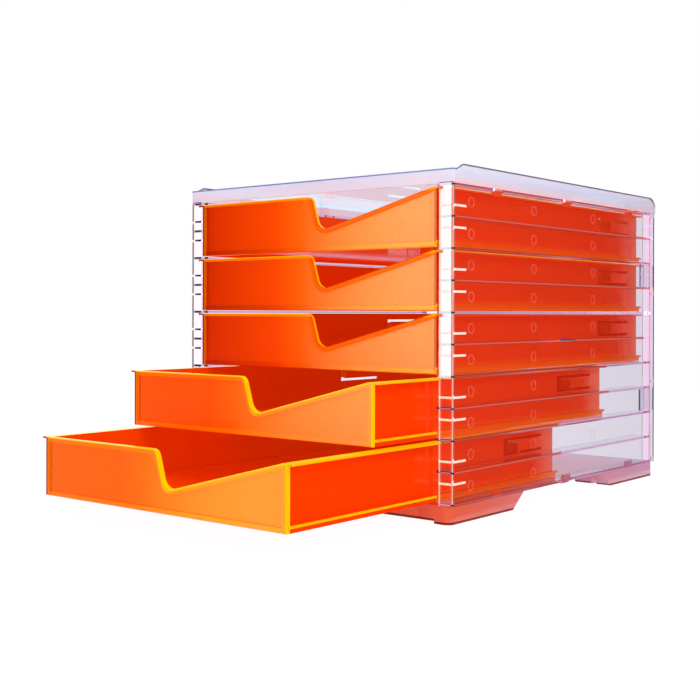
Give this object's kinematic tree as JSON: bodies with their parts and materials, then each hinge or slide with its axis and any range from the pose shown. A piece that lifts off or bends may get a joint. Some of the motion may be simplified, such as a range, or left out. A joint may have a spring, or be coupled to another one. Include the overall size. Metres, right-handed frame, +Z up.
{
  "type": "desktop drawer file box",
  "caption": "Clear desktop casing with a stack of translucent pull-out paper drawers, each with a sloping finger cut-out in its front.",
  "frame": {"origin": "on the table, under the middle of the casing's footprint", "axes": "+Z up, +X to the right seen from the front, the drawers open towards -Y"},
  "size_m": [0.268, 0.4945, 0.2572],
  "materials": {
    "clear_plastic": "clear polished polystyrene with a faint lilac tint",
    "orange_plastic": "glossy translucent neon orange polystyrene with glowing edges"
  },
  "bodies": {
    "casing": {"base": "clear_plastic", "side_panel_left": "clear_plastic", "side_panel_right": "clear_plastic", "back_panel": "clear_plastic", "top_cover": "clear_plastic"},
    "drawer_1": {"drawer_1": "orange_plastic"},
    "drawer_2": {"drawer_2": "orange_plastic"},
    "drawer_3": {"drawer_3": "orange_plastic"},
    "drawer_4": {"drawer_4": "orange_plastic"},
    "drawer_5": {"drawer_5": "orange_plastic"}
  },
  "joints": [
    {"name": "drawer_1_slide", "type": "slide", "parent": "casing", "child": "drawer_1", "axis": [0, -1, 0], "range_m": [0, 0.242]},
    {"name": "drawer_2_slide", "type": "slide", "parent": "casing", "child": "drawer_2", "axis": [0, -1, 0], "range_m": [0, 0.242]},
    {"name": "drawer_3_slide", "type": "slide", "parent": "casing", "child": "drawer_3", "axis": [0, -1, 0], "range_m": [0, 0.242]},
    {"name": "drawer_4_slide", "type": "slide", "parent": "casing", "child": "drawer_4", "axis": [0, -1, 0], "range_m": [-0.0735, 0.1685]},
    {"name": "drawer_5_slide", "type": "slide", "parent": "casing", "child": "drawer_5", "axis": [0, -1, 0], "range_m": [-0.1575, 0.0845]}
  ]
}
